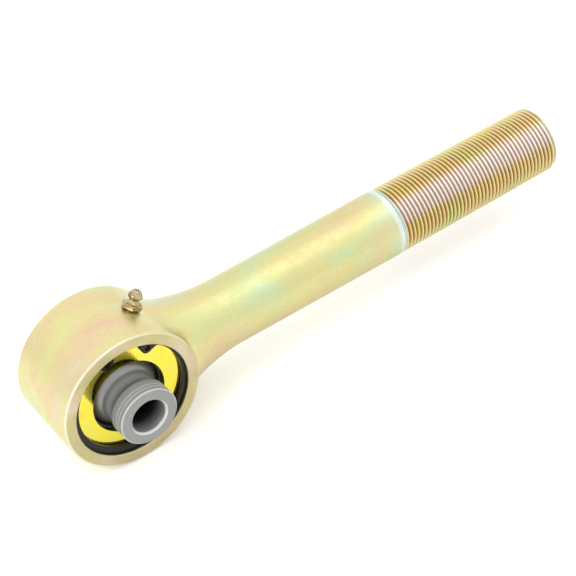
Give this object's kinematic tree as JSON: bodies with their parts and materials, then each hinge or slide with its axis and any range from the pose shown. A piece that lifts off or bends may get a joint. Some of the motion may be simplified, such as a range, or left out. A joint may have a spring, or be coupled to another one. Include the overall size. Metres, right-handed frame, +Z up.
{
  "type": "rod end bearing",
  "caption": "Forged male rod end bearing: a threaded shank and an eye that holds a greaseable necked ball between races, side washers and snap rings.",
  "frame": {"origin": "centre of the ball, which is the centre of the eye's bore", "axes": "+X along the shank towards the threaded end, -Y along the bolt axis out of the front face, +Z up on the side of the grease fitting"},
  "size_m": [0.2717, 0.0666, 0.0685],
  "materials": {
    "housing_chromate": "satin forged steel with iridescent yellow chromate over zinc",
    "ball_steel": "fine turned steel",
    "race_polymer": "greased black polymer",
    "washer_zinc": "bright yellow zinc",
    "snap_ring_black": "black phosphate spring steel, oiled",
    "fitting_zinc": "bright yellow-brown chromate",
    "spring_steel": "bright drawn wire"
  },
  "bodies": {
    "housing": {"rod_end_housing": "housing_chromate", "front_side_washer": "washer_zinc", "back_side_washer": "washer_zinc", "front_snap_ring": "snap_ring_black", "back_snap_ring": "snap_ring_black", "grease_fitting_body": "fitting_zinc", "grease_spring": "spring_steel"},
    "races": {"front_race": "race_polymer", "back_race": "race_polymer"},
    "ball": {"ball": "ball_steel"},
    "check_ball": {"grease_check_ball": "spring_steel"}
  },
  "joints": [
    {"name": "race_spin", "type": "hinge", "parent": "housing", "child": "races", "pos_m": [0, 0, 0], "axis": [0, 1, 0], "continuous": true},
    {"name": "ball_tilt", "type": "hinge", "parent": "races", "child": "ball", "pos_m": [0, 0, 0], "axis": [1, 0, 0], "range_deg": [-15, 15]},
    {"name": "check_ball_slide", "type": "slide", "parent": "housing", "child": "check_ball", "axis": [-0.5225, 0, -0.8526], "range_m": [0, 0.001], "stiffness_N_per_m": 100, "springref_m": -0.002, "deforming": ["grease_spring"]}
  ]
}
